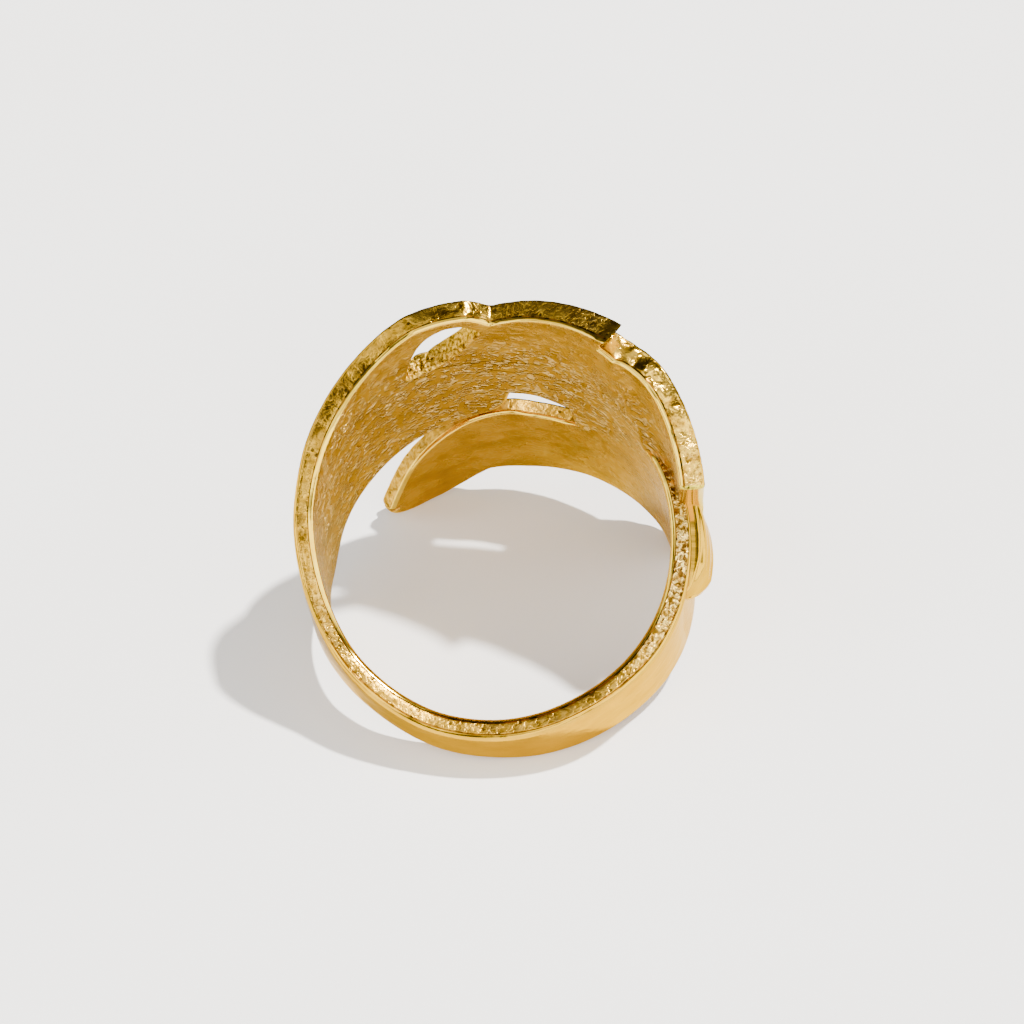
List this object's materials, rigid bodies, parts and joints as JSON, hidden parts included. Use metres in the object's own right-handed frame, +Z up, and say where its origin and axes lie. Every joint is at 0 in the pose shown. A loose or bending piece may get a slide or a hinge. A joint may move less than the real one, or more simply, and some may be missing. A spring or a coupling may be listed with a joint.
{
  "type": "feather ring",
  "caption": "Wide bypass finger ring of two overlapping feathers on a plain shank, lying on its side as it rests by itself.",
  "frame": {"origin": "middle of the ring's bounding box on the surface it lies on", "axes": "+Z up from that surface, -Y towards the plain shank at the front, +Y towards the wide feathers at the back, +X to the right as seen over the shank"},
  "size_m": [0.0216, 0.0216, 0.019],
  "materials": {
    "gold_brass": "polished"
  },
  "bodies": {
    "root": {"feather_ring": "gold_brass"}
  },
  "joints": []
}
